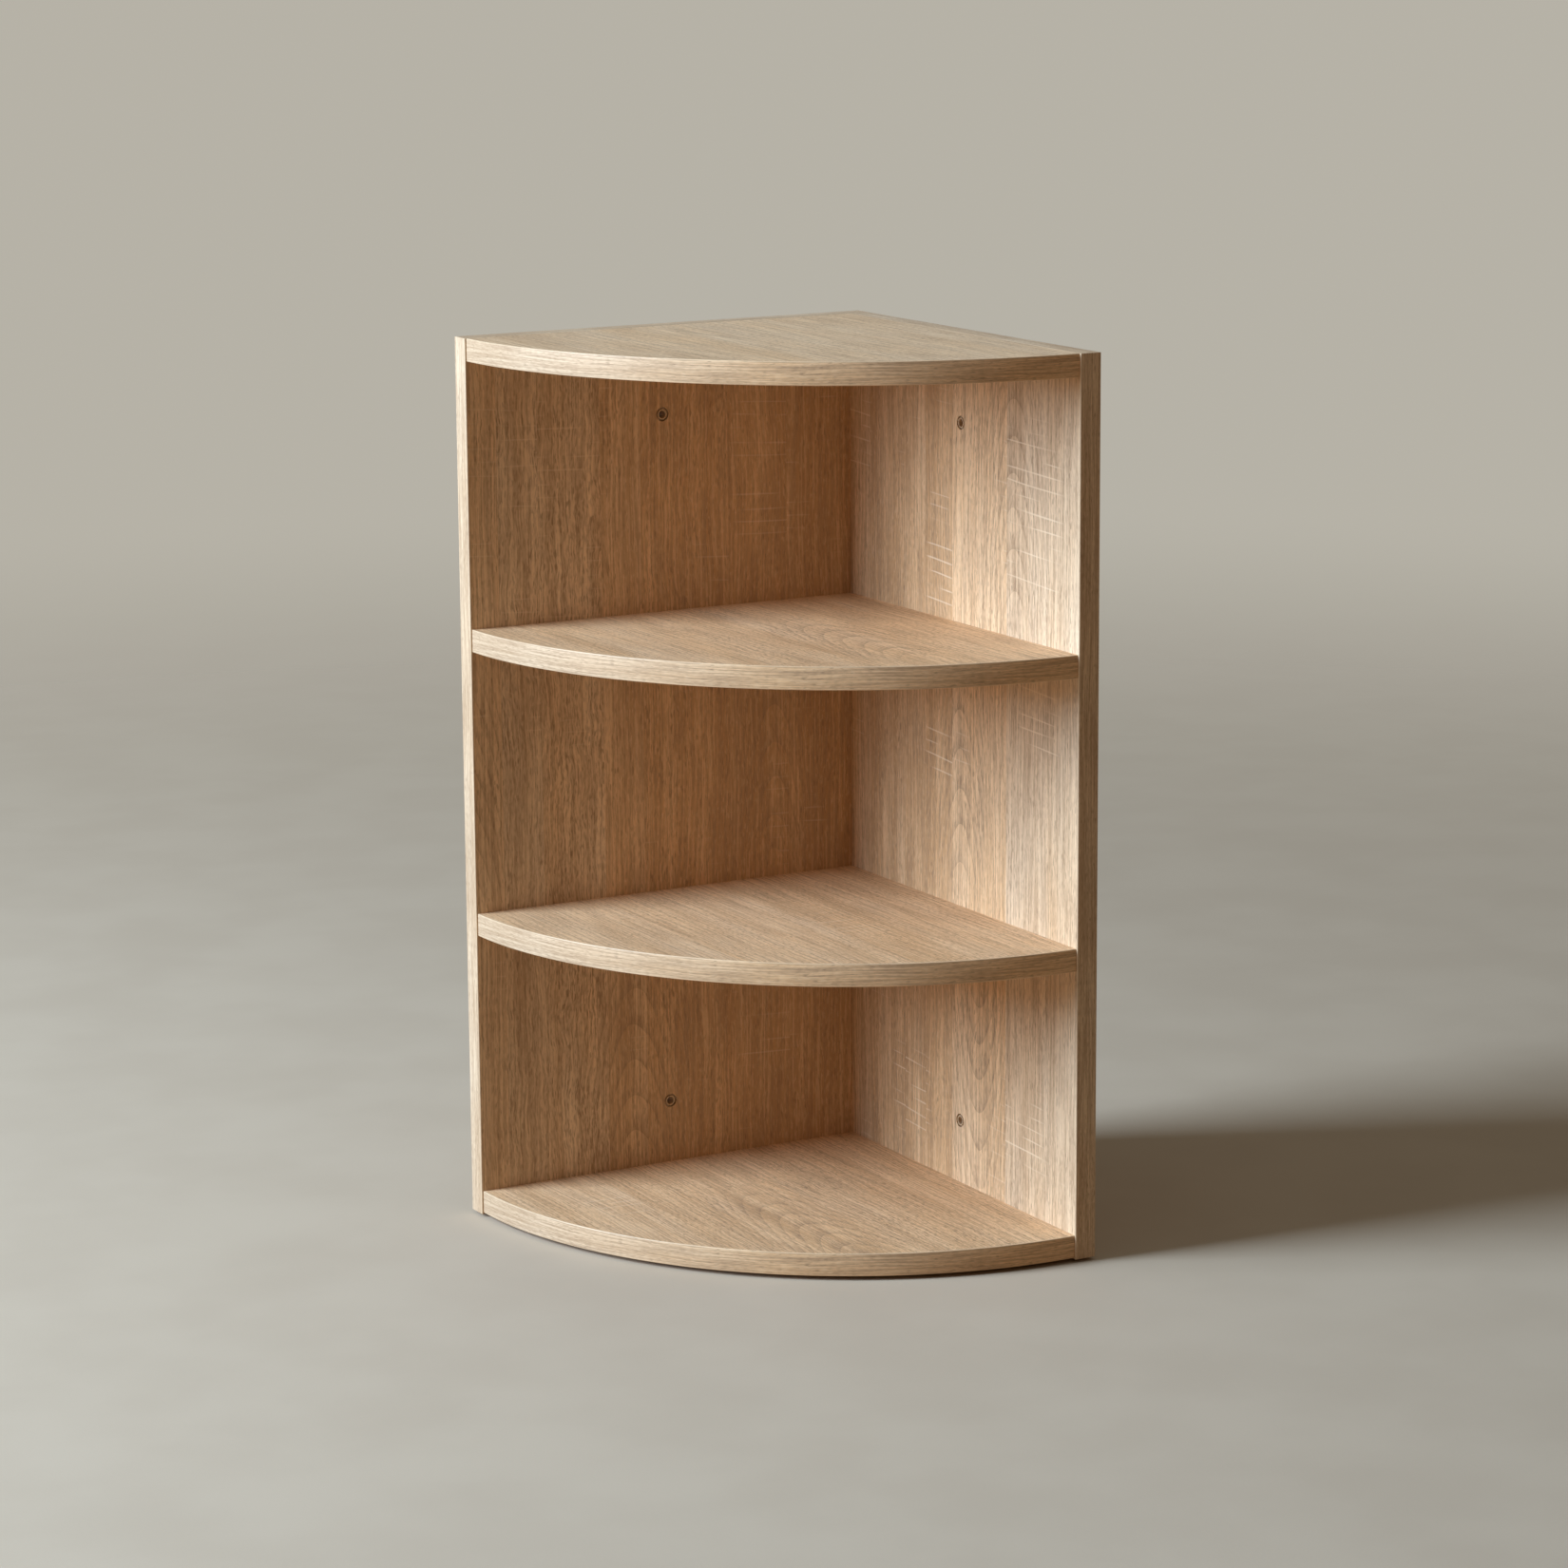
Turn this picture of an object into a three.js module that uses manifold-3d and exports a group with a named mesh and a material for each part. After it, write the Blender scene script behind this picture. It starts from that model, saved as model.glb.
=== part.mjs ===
// Quarter-round corner shelf unit of oak-decor board, knock-down construction.
//
// Millimetres, +Z up. The origin is on the floor, in the middle of the unit's square plan.
// Two side panels meet at a right angle in the corner at +X +Y: the left panel closes the +Y side,
// the right panel closes the +X side and butts against the left one. Four quarter-round boards
// stand between them, with their curved fronts towards -X -Y.

import * as THREE from "three";
import { mergeVertices } from "three/addons/utils/BufferGeometryUtils.js";
import Module from "manifold-3d";

// Overall sizes
const UNIT_WIDTH = 360; // along each wall, edging included
const PANEL_HEIGHT = 700;
const BOARD_THICKNESS = 18;
const EDGING_THICKNESS = 1;
const BOARD_SETBACK = 1.5; // curved fronts behind the panels' front edges
const BOTTOM_BOARD_LIFT = 1; // underside of the bottom board above the panels' lower ends
const BOARD_NAMES = ["bottom_board", "lower_shelf", "upper_shelf", "top_board"];

// Clearance between a fastener, dowel or sleeve and its hole
const HOLE_CLEARANCE = 0.3;

// One-piece connecting screws, driven from the outer faces of the panels
const SCREW_LENGTH = 50;
const SCREW_SHANK_DIAMETER = 7;
const SCREW_HEAD_DIAMETER = 10;
const SCREW_HEAD_HEIGHT = 3.5;
const SCREW_HEAD_SINK = 0.3;
const SCREW_TIP_LENGTH = 3;
const SCREW_SOCKET_WIDTH = 4; // across the flats of the hexagon
const SCREW_SOCKET_DEPTH = 2.5;
const SCREW_PAST_GLIDE = 22; // from a front glide's nail to the nearest screw
const SCREW_PAST_CROSSING = 20; // from the tip of one panel's screw to the other panel's screw

// Beech dowels
const DOWEL_DIAMETER = 8;
const DOWEL_LENGTH = 30;
const DOWEL_CHAMFER = 1;
const DOWEL_BACKING = 6; // panel left behind a dowel

// Sleeves of the four holes through which the unit is screwed to the walls
const SLEEVE_DIAMETER = 10.4;
const SLEEVE_BORE = 6;
const SLEEVE_CHAMFER = 0.6;
const SLEEVE_FROM_PANEL_END = 70;

// Nail-on glides under the panels
const GLIDE_HEIGHT = 2.5;
const GLIDE_MARGIN = 1; // panel showing on both sides of a glide
const GLIDE_CHAMFER = 0.5;
const GLIDE_NAIL_DIAMETER = 2.5;
const GLIDE_NAIL_LENGTH = 15;
const GLIDE_FROM_PANEL_END = 30;

// Mesh counts, and how far a cut runs past the face it opens
const ARC_SEGMENTS = 48;
const ROUND_SEGMENTS = 20;
const SLEEVE_SEGMENTS = 32;
const SOCKET_SIDES = 6;
const CUT_OVERRUN = 1;

// Places that follow from the sizes. "Along" is measured on a panel from the inner corner towards
// its front edge, "depth" from its inner face outwards.
const INNER_CORNER = UNIT_WIDTH / 2 - BOARD_THICKNESS;
const INNER_WIDTH = UNIT_WIDTH - BOARD_THICKNESS;
const PANEL_FOOT = GLIDE_HEIGHT;
const PANEL_TOP = PANEL_FOOT + PANEL_HEIGHT;
const FRONT_RADIUS = INNER_WIDTH - BOARD_SETBACK;
const CORE_RADIUS = FRONT_RADIUS - EDGING_THICKNESS;
const COMPARTMENTS = BOARD_NAMES.length - 1;
const BOARD_PITCH = (PANEL_HEIGHT - BOTTOM_BOARD_LIFT - BOARD_THICKNESS) / COMPARTMENTS;
const boardFoot = (level) => PANEL_FOOT + BOTTOM_BOARD_LIFT + level * BOARD_PITCH;
const boardMiddle = (level) => boardFoot(level) + BOARD_THICKNESS / 2;
const compartmentMiddle = (level) => (boardMiddle(level) + boardMiddle(level + 1)) / 2;

const SCREW_REACH = SCREW_HEAD_SINK + SCREW_LENGTH - BOARD_THICKNESS;
const SCREWS_ALONG = {
  back: SCREW_REACH + SCREW_PAST_CROSSING,
  front: INNER_WIDTH - GLIDE_FROM_PANEL_END - SCREW_PAST_GLIDE,
};
const MIDDLE_ALONG = INNER_WIDTH / 2;
const CORNER_JOINT_ALONG = -BOARD_THICKNESS / 2; // middle of the right panel's back edge

const PANEL_BACK = { left: -BOARD_THICKNESS, right: 0 }; // where each panel begins, along it
const SLEEVE_HEIGHTS = {
  lower: PANEL_FOOT + SLEEVE_FROM_PANEL_END,
  upper: PANEL_TOP - SLEEVE_FROM_PANEL_END,
};

const SIDES = ["left", "right"];
const LEVELS = BOARD_NAMES.map((_, level) => level);
const COMPARTMENT_LEVELS = LEVELS.slice(0, COMPARTMENTS);
const INNER_LEVELS = LEVELS.slice(1, COMPARTMENTS);

// Directions that a turned piece's own +Y axis is aimed at
const OUTWARDS = {
  left: new THREE.Vector3(0, 1, 0),
  right: new THREE.Vector3(1, 0, 0),
};
const UPWARDS = new THREE.Vector3(0, 0, 1);

// Materials

function finish(color, roughness, metalness = 0) {
  return new THREE.MeshStandardMaterial({ color, roughness, metalness });
}

const oakBoard = () => finish(0xc9ab89, 0.6);
const oakEdging = () => finish(0xd2b696, 0.55);
const zincPlate = () => finish(0xb8babb, 0.35, 1);
const beech = () => finish(0xd8b98f, 0.7);
const sleevePlastic = () => finish(0xb48d66, 0.5);
const glidePlastic = () => finish(0x4a3a2c, 0.5);

// Solids

const wasm = await Module();
wasm.setup();

function toManifold(geometry) {
  const bare = geometry.clone();
  bare.deleteAttribute("normal");
  bare.deleteAttribute("uv");
  const welded = mergeVertices(bare);
  return new wasm.Manifold(new wasm.Mesh({
    numProp: 3,
    vertProperties: new Float32Array(welded.attributes.position.array),
    triVerts: new Uint32Array(welded.index.array),
  }));
}

function toGeometry(manifold) {
  const { vertProperties, triVerts } = manifold.getMesh();
  const geometry = new THREE.BufferGeometry();
  geometry.setAttribute("position", new THREE.BufferAttribute(vertProperties, 3));
  geometry.setIndex(new THREE.BufferAttribute(triVerts, 1));
  geometry.computeVertexNormals();
  return geometry;
}

function cut(geometry, cutters) {
  const remove = (solid, cutter) => solid.subtract(toManifold(cutter));
  return toGeometry(cutters.reduce(remove, toManifold(geometry)));
}

// A point on a panel. The right panel is the left one with X and Y exchanged.
function panelPoint(side, along, depth, height) {
  const fromCorner = [INNER_CORNER - along, INNER_CORNER + depth];
  const [x, y] = side === "left" ? fromCorner : fromCorner.reverse();
  return new THREE.Vector3(x, y, height);
}

function panelBox(side, [alongLow, alongHigh], [depthLow, depthHigh], [low, high]) {
  const box = new THREE.Box3().setFromPoints([
    panelPoint(side, alongLow, depthLow, low),
    panelPoint(side, alongHigh, depthHigh, high),
  ]);
  const size = box.getSize(new THREE.Vector3());
  const middle = box.getCenter(new THREE.Vector3());
  return new THREE.BoxGeometry(...size).translate(...middle);
}

// A shape turned about its +Y axis, from [radius, height] pairs
function turned(profile, segments = ROUND_SEGMENTS) {
  return new THREE.LatheGeometry(profile.map((pair) => new THREE.Vector2(...pair)), segments);
}

function aimed(geometry, place, direction) {
  const turn = new THREE.Quaternion().setFromUnitVectors(new THREE.Vector3(0, 1, 0), direction);
  return geometry.applyQuaternion(turn).translate(...place);
}

// Connecting screws: the origin is on the panel's outer face, the tip points inwards

function screw({ side, along, height }) {
  const top = -SCREW_HEAD_SINK;
  const shank = SCREW_SHANK_DIAMETER / 2;
  const head = SCREW_HEAD_DIAMETER / 2;
  const body = turned([
    [0, top - SCREW_LENGTH],
    [shank, top - SCREW_LENGTH + SCREW_TIP_LENGTH],
    [shank, top - SCREW_HEAD_HEIGHT],
    [head, top - SCREW_HEAD_HEIGHT],
    [head, top],
    [0, top],
  ]);
  const socketRadius = SCREW_SOCKET_WIDTH / Math.sqrt(3);
  const socketHeight = SCREW_SOCKET_DEPTH + CUT_OVERRUN;
  const socket = new THREE.CylinderGeometry(socketRadius, socketRadius, socketHeight, SOCKET_SIDES);
  socket.translate(0, top - SCREW_SOCKET_DEPTH + socketHeight / 2, 0);
  return aimed(cut(body, [socket]), panelPoint(side, along, BOARD_THICKNESS, height), OUTWARDS[side]);
}

function screwHole({ side, along, height }) {
  const bore = SCREW_SHANK_DIAMETER / 2 + HOLE_CLEARANCE;
  const counterbore = SCREW_HEAD_DIAMETER / 2 + HOLE_CLEARANCE;
  const end = -SCREW_HEAD_SINK - SCREW_LENGTH - HOLE_CLEARANCE;
  const seat = -SCREW_HEAD_SINK - SCREW_HEAD_HEIGHT - HOLE_CLEARANCE;
  const hole = turned([
    [0, end],
    [bore, end],
    [bore, seat],
    [counterbore, seat],
    [counterbore, CUT_OVERRUN],
    [0, CUT_OVERRUN],
  ]);
  return aimed(hole, panelPoint(side, along, BOARD_THICKNESS, height), OUTWARDS[side]);
}

// Dowels: the origin is on the panel's inner face, where panel and board meet

const DOWEL_IN_PANEL = BOARD_THICKNESS - DOWEL_BACKING;
const DOWEL_IN_BOARD = DOWEL_LENGTH - DOWEL_IN_PANEL;

function dowel({ side, along, height }) {
  const radius = DOWEL_DIAMETER / 2;
  const tip = radius - DOWEL_CHAMFER;
  const body = turned([
    [0, -DOWEL_IN_BOARD],
    [tip, -DOWEL_IN_BOARD],
    [radius, DOWEL_CHAMFER - DOWEL_IN_BOARD],
    [radius, DOWEL_IN_PANEL - DOWEL_CHAMFER],
    [tip, DOWEL_IN_PANEL],
    [0, DOWEL_IN_PANEL],
  ]);
  return aimed(body, panelPoint(side, along, 0, height), OUTWARDS[side]);
}

function dowelHole({ side, along, height }) {
  const radius = DOWEL_DIAMETER / 2 + HOLE_CLEARANCE;
  const low = -DOWEL_IN_BOARD - HOLE_CLEARANCE;
  const high = DOWEL_IN_PANEL + HOLE_CLEARANCE;
  const hole = turned([[0, low], [radius, low], [radius, high], [0, high]]);
  return aimed(hole, panelPoint(side, along, 0, height), OUTWARDS[side]);
}

// Wall-fixing sleeves: the origin is on the panel's inner face

function sleeve({ side, along, height }) {
  const radius = SLEEVE_DIAMETER / 2;
  const bore = SLEEVE_BORE / 2;
  const body = turned([
    [bore, 0],
    [radius - SLEEVE_CHAMFER, 0],
    [radius, SLEEVE_CHAMFER],
    [radius, BOARD_THICKNESS],
    [bore, BOARD_THICKNESS],
    [bore, 0],
  ], SLEEVE_SEGMENTS);
  return aimed(body, panelPoint(side, along, 0, height), OUTWARDS[side]);
}

function sleeveHole({ side, along, height }) {
  const radius = SLEEVE_DIAMETER / 2 + HOLE_CLEARANCE;
  const low = -CUT_OVERRUN;
  const high = BOARD_THICKNESS + CUT_OVERRUN;
  const hole = turned([[0, low], [radius, low], [radius, high], [0, high]], SLEEVE_SEGMENTS);
  return aimed(hole, panelPoint(side, along, 0, height), OUTWARDS[side]);
}

// Glides: the origin is on the panel's lower end, the nail points up

function glide({ side, along, height }) {
  const disc = BOARD_THICKNESS / 2 - GLIDE_MARGIN;
  const nail = GLIDE_NAIL_DIAMETER / 2;
  const body = turned([
    [0, -GLIDE_HEIGHT],
    [disc - GLIDE_CHAMFER, -GLIDE_HEIGHT],
    [disc, GLIDE_CHAMFER - GLIDE_HEIGHT],
    [disc, 0],
    [nail, 0],
    [nail, GLIDE_NAIL_LENGTH - GLIDE_NAIL_DIAMETER],
    [0, GLIDE_NAIL_LENGTH],
  ]);
  return aimed(body, panelPoint(side, along, BOARD_THICKNESS / 2, height), UPWARDS);
}

function nailHole({ side, along, height }) {
  const radius = GLIDE_NAIL_DIAMETER / 2 + HOLE_CLEARANCE;
  const high = GLIDE_NAIL_LENGTH + HOLE_CLEARANCE;
  const hole = turned([[0, -CUT_OVERRUN], [radius, -CUT_OVERRUN], [radius, high], [0, high]]);
  return aimed(hole, panelPoint(side, along, BOARD_THICKNESS / 2, height), UPWARDS);
}

// Where the small pieces sit. Each place is written once, for the piece and for its hole.

const BOARD_SCREWS = LEVELS.flatMap((level) => SIDES.flatMap((side) => (
  Object.entries(SCREWS_ALONG).map(([end, along]) => (
    { name: `${BOARD_NAMES[level]}_${side}_${end}_screw`, side, along, height: boardMiddle(level) }
  ))
)));
const BOARD_DOWELS = LEVELS.flatMap((level) => SIDES.map((side) => (
  { name: `${BOARD_NAMES[level]}_${side}_dowel`, side, along: MIDDLE_ALONG, height: boardMiddle(level) }
)));
const cornerPlace = (name, height) => ({ name, side: "left", along: CORNER_JOINT_ALONG, height });
const CORNER_SCREWS = COMPARTMENT_LEVELS.map((level) => (
  cornerPlace(`corner_joint_screw_${level + 1}`, compartmentMiddle(level))
));
const CORNER_DOWELS = INNER_LEVELS.map((level) => (
  cornerPlace(`corner_joint_dowel_${level}`, boardMiddle(level))
));
const SLEEVES = SIDES.flatMap((side) => Object.entries(SLEEVE_HEIGHTS).map(([end, height]) => (
  { name: `${side}_${end}_wall_sleeve`, side, along: MIDDLE_ALONG, height }
)));
const GLIDES = SIDES.flatMap((side) => [
  { name: `${side}_front_glide`, side, along: INNER_WIDTH - GLIDE_FROM_PANEL_END, height: PANEL_FOOT },
  { name: `${side}_back_glide`, side, along: PANEL_BACK[side] + GLIDE_FROM_PANEL_END, height: PANEL_FOOT },
]);

const HOLES = [
  ...[...BOARD_SCREWS, ...CORNER_SCREWS].map(screwHole),
  ...[...BOARD_DOWELS, ...CORNER_DOWELS].map(dowelHole),
  ...SLEEVES.map(sleeveHole),
  ...GLIDES.map(nailHole),
];

// Side panels and their straight edging

const WHOLE_DEPTH = [0, BOARD_THICKNESS];
const WHOLE_HEIGHT = [PANEL_FOOT, PANEL_TOP];
const TOP_EDGING_HEIGHT = [PANEL_TOP - EDGING_THICKNESS, PANEL_TOP];
const CORE_ALONG = {
  left: [PANEL_BACK.left + EDGING_THICKNESS, INNER_WIDTH - EDGING_THICKNESS],
  right: [PANEL_BACK.right, INNER_WIDTH - EDGING_THICKNESS],
};

function sidePanel(side) {
  return cut(panelBox(side, CORE_ALONG[side], WHOLE_DEPTH, [PANEL_FOOT, TOP_EDGING_HEIGHT[0]]), HOLES);
}

function frontEdging(side) {
  return panelBox(side, [CORE_ALONG[side][1], INNER_WIDTH], WHOLE_DEPTH, WHOLE_HEIGHT);
}

function topEdging(side) {
  return panelBox(side, CORE_ALONG[side], WHOLE_DEPTH, TOP_EDGING_HEIGHT);
}

function backEdging() {
  return panelBox("left", [PANEL_BACK.left, CORE_ALONG.left[0]], WHOLE_DEPTH, WHOLE_HEIGHT);
}

// Quarter-round boards and their curved edging

function frontArc(radius) {
  return Array.from({ length: ARC_SEGMENTS + 1 }, (_, step) => {
    const angle = Math.PI + (Math.PI / 2) * (step / ARC_SEGMENTS);
    const x = INNER_CORNER + radius * Math.cos(angle);
    const y = INNER_CORNER + radius * Math.sin(angle);
    return new THREE.Vector2(Math.min(x, INNER_CORNER), Math.min(y, INNER_CORNER));
  });
}

function boardSlice(outline, level) {
  const settings = { depth: BOARD_THICKNESS, bevelEnabled: false, steps: 1 };
  return new THREE.ExtrudeGeometry(new THREE.Shape(outline), settings).translate(0, 0, boardFoot(level));
}

function board(level) {
  const corner = new THREE.Vector2(INNER_CORNER, INNER_CORNER);
  const core = boardSlice([corner, ...frontArc(CORE_RADIUS)], level);
  return cut(core, HOLES);
}

function boardEdging(level) {
  return boardSlice([...frontArc(FRONT_RADIUS), ...frontArc(CORE_RADIUS).reverse()], level);
}

// Assembly

const group = new THREE.Group();

function add(name, geometry, material) {
  const mesh = new THREE.Mesh(geometry, material);
  mesh.name = name;
  group.add(mesh);
}

for (const side of SIDES) {
  add(`${side}_side_panel`, sidePanel(side), oakBoard());
  add(`${side}_panel_front_edging`, frontEdging(side), oakEdging());
  add(`${side}_panel_top_edging`, topEdging(side), oakEdging());
}
add("left_panel_back_edging", backEdging(), oakEdging());
for (const level of LEVELS) {
  add(BOARD_NAMES[level], board(level), oakBoard());
  add(`${BOARD_NAMES[level]}_edging`, boardEdging(level), oakEdging());
}
for (const place of [...BOARD_SCREWS, ...CORNER_SCREWS]) {
  add(place.name, screw(place), zincPlate());
}
for (const place of [...BOARD_DOWELS, ...CORNER_DOWELS]) {
  add(place.name, dowel(place), beech());
}
for (const place of SLEEVES) {
  add(place.name, sleeve(place), sleevePlastic());
}
for (const place of GLIDES) {
  add(place.name, glide(place), glidePlastic());
}

export default group;
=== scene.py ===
"""Looks of the corner shelf unit: oak-decor boards, edge bands, fittings, floor, light and camera.

Lengths are millimetres, except where a comment says metres. MM turns them into Blender's metres.
"""

import math

import bmesh
import bpy
from mathutils import Matrix, Vector


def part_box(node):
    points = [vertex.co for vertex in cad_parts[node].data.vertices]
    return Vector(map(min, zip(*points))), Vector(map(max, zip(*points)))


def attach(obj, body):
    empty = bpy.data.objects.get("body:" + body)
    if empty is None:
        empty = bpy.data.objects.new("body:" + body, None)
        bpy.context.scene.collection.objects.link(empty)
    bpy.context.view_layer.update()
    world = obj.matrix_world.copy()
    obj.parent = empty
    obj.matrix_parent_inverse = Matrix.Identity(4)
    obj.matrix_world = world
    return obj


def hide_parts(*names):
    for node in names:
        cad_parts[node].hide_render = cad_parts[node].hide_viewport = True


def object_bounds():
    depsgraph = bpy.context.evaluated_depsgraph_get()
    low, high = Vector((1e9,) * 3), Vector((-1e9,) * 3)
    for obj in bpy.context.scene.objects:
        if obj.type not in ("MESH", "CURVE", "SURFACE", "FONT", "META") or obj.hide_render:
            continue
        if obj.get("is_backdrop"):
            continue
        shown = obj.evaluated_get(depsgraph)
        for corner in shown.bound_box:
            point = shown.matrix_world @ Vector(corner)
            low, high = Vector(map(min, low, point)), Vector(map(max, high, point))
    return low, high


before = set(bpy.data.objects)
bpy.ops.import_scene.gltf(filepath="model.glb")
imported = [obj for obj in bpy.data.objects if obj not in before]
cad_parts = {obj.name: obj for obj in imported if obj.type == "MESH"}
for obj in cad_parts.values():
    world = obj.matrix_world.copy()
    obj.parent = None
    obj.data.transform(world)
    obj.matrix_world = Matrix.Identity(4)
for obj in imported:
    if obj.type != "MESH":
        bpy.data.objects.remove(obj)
CAD_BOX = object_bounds()
MM = 0.001

BOARDS = ("bottom_board", "lower_shelf", "upper_shelf", "top_board")


# Places and ways

def box_mm(node):
    """A CAD node's lowest and highest corners, in millimetres."""
    low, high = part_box(node)
    return low / MM, high / MM


def unit_vector(axis):
    return Vector([float(index == axis) for index in range(3)])


INNER_CORNER = box_mm("bottom_board")[1]
X, Y, Z = range(3)
OVER, AWAY, UP = unit_vector(X), unit_vector(Y), unit_vector(Z)


# Mesh building

SHARP_ANGLE = math.radians(30)


def mesh_from(name, vertices, faces, grain=None):
    """A mesh with smooth faces and sharp edges past SHARP_ANGLE.

    grain gives each vertex's place in the unrolled grain: across, along and depth.
    """
    mesh = bpy.data.meshes.new(name)
    mesh.from_pydata([Vector(v) * MM for v in vertices], [], faces)
    if grain:
        layer = mesh.attributes.new("grain", "FLOAT_VECTOR", "POINT")
        layer.data.foreach_set("vector", [x for place in grain for x in place])
    work = bmesh.new()
    work.from_mesh(mesh)
    bmesh.ops.recalc_face_normals(work, faces=work.faces)
    for face in work.faces:
        face.smooth = True
    for edge in work.edges:
        edge.smooth = edge.calc_face_angle(0.0) < SHARP_ANGLE
    work.to_mesh(mesh)
    work.free()
    return mesh


def ring_faces(rings, around, closed_loop=False):
    """Quads between neighbouring rings of `around` vertices, and a cap on each end of an open row."""
    faces = []
    steps = rings if closed_loop else rings - 1
    for ring in range(steps):
        here, there = ring * around, (ring + 1) % rings * around
        for step in range(around):
            after = (step + 1) % around
            faces.append((here + step, here + after, there + after, there + step))
    if not closed_loop:
        faces.append(tuple(range(around)))
        faces.append(tuple((rings - 1) * around + step for step in range(around)))
    return faces


def add_piece(name, mesh, node, slot, material, matrix=None):
    """A piece that stands for a CAD node and rides on the unit's one body."""
    piece = bpy.data.objects.new(name, mesh)
    bpy.context.scene.collection.objects.link(piece)
    if matrix:
        piece.matrix_world = matrix
    if not mesh.materials:
        mesh.materials.append(material)
    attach(piece, "root")
    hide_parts(node)
    return piece


# Edge bands: a rounded strip swept along a straight or curved edge

BAND_ARRIS = 0.8  # radius of a band's scraped outer edges
BAND_ARRIS_STEPS = 5
BAND_END_EASE = 0.15  # how much a band's end is broken
ARC_STEPS = 160
STRAIGHT_BAND_SHIFT = 1000.0  # keeps a straight band's grain clear of the painted warm fill light along a curved one


def band_profile(thickness, width):
    """(depth, across) points from the glued side's low corner round the outer face to its high corner."""
    half = width / 2
    points = [(0.0, -half)]
    for side in (-1, 1):
        turn = range(BAND_ARRIS_STEPS + 1) if side < 0 else reversed(range(BAND_ARRIS_STEPS + 1))
        for step in turn:
            angle = math.pi / 2 * step / BAND_ARRIS_STEPS
            points.append((thickness - BAND_ARRIS + BAND_ARRIS * math.sin(angle),
                           side * (half - BAND_ARRIS + BAND_ARRIS * math.cos(angle))))
    points.append((0.0, half))
    return points


def swept_band(name, thickness, width, stations):
    """A band through its stations: (along, middle of the glued side, outward way, across way)."""
    profile = band_profile(thickness, width)
    unrolled = [0.0]
    for (d0, a0), (d1, a1) in zip(profile, profile[1:]):
        unrolled.append(unrolled[-1] + math.hypot(d1 - d0, a1 - a0))
    middle = unrolled[-1] / 2
    vertices, grain = [], []
    last = len(stations) - 1
    for index, (along, point, outward, across_way) in enumerate(stations):
        ease = BAND_END_EASE if index in (0, last) else 0.0
        for (depth, across), place in zip(profile, unrolled):
            eased_depth = max(depth - ease, 0.0)
            eased_across = math.copysign(max(abs(across) - ease, 0.0), across)
            vertices.append(point + outward * eased_depth + across_way * eased_across)
            grain.append((place - middle, along, depth))
    return mesh_from(name, vertices, ring_faces(len(stations), len(profile)), grain)


def with_eased_ends(positions):
    """The positions along a band, with one more just inside each end, where the broken end starts."""
    first, last = positions[0], positions[-1]
    return [first, first + BAND_END_EASE, *positions[1:-1], last - BAND_END_EASE, last]


def straight_band(node, along_axis, across_axis, outward):
    """The band of a straight CAD node. outward is a unit vector from its glued side to its open side."""
    low, high = box_mm(node)
    size = high - low
    out_axis = max(range(3), key=lambda axis: abs(outward[axis]))
    middle = (low + high) / 2
    glued = middle - outward * size[out_axis] / 2
    across_way = unit_vector(across_axis)
    stations = []
    for along in with_eased_ends([low[along_axis], high[along_axis]]):
        point = glued.copy()
        point[along_axis] = along
        stations.append((along - STRAIGHT_BAND_SHIFT, point, outward, across_way))
    return swept_band(node, size[out_axis], size[across_axis], stations)


def curved_band(node, board):
    """The band of a quarter-round board, from the left panel (-X side) to the right panel (-Y side)."""
    low, high = box_mm(node)
    core_low = box_mm(board)[0]
    core_radius = INNER_CORNER.x - core_low.x
    thickness = core_low.x - low.x
    middle_height = (low.z + high.z) / 2
    quarter = core_radius * math.pi / 2
    centre = Vector((INNER_CORNER.x, INNER_CORNER.y, middle_height))
    stations = []
    for along in with_eased_ends([quarter * step / ARC_STEPS for step in range(ARC_STEPS + 1)]):
        angle = along / core_radius
        outward = Vector((-math.cos(angle), -math.sin(angle), 0.0))
        stations.append((along, centre + outward * core_radius, outward, UP))
    return swept_band(node, thickness, high.z - low.z, stations)


# Small turned pieces. Each is built along its own Z, from the low end of its CAD node's box.

ROUND_STEPS = 48
FILLET_STEPS = 4
POINT_RADIUS = 0.05  # a sharp point ends in a flat this small


def ring(radius, height):
    """One ring of points. radius is a number, or a function of the angle that gives one."""
    points = []
    for step in range(ROUND_STEPS):
        angle = 2 * math.pi * step / ROUND_STEPS
        here = radius(angle) if callable(radius) else radius
        points.append((here * math.cos(angle), here * math.sin(angle), height))
    return points


def rings_mesh(name, rings, closed_loop=False):
    vertices = [point for one in rings for point in one]
    return mesh_from(name, vertices, ring_faces(len(rings), ROUND_STEPS, closed_loop))


def fillet(face, side):
    """Rings that round an edge from a point on the end face to one on the side: (radius, height)."""
    rings = []
    for step in range(FILLET_STEPS + 1):
        angle = math.pi / 2 * step / FILLET_STEPS
        rings.append(ring(face[0] + (side[0] - face[0]) * math.sin(angle),
                          side[1] + (face[1] - side[1]) * math.cos(angle)))
    return rings


def on_node(node):
    """The matrix that lays a piece built along its own Z on the node's longest axis."""
    low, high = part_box(node)
    size = high - low
    axis = max(range(3), key=lambda i: size[i])
    start = (low + high) / 2
    start[axis] = low[axis]
    turn = UP.rotation_difference(unit_vector(axis)).to_matrix().to_4x4()
    return Matrix.Translation(start) @ turn


def node_length(node):
    low, high = box_mm(node)
    return max(high - low)


def node_width(node):
    low, high = box_mm(node)
    return min(high - low)


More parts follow.
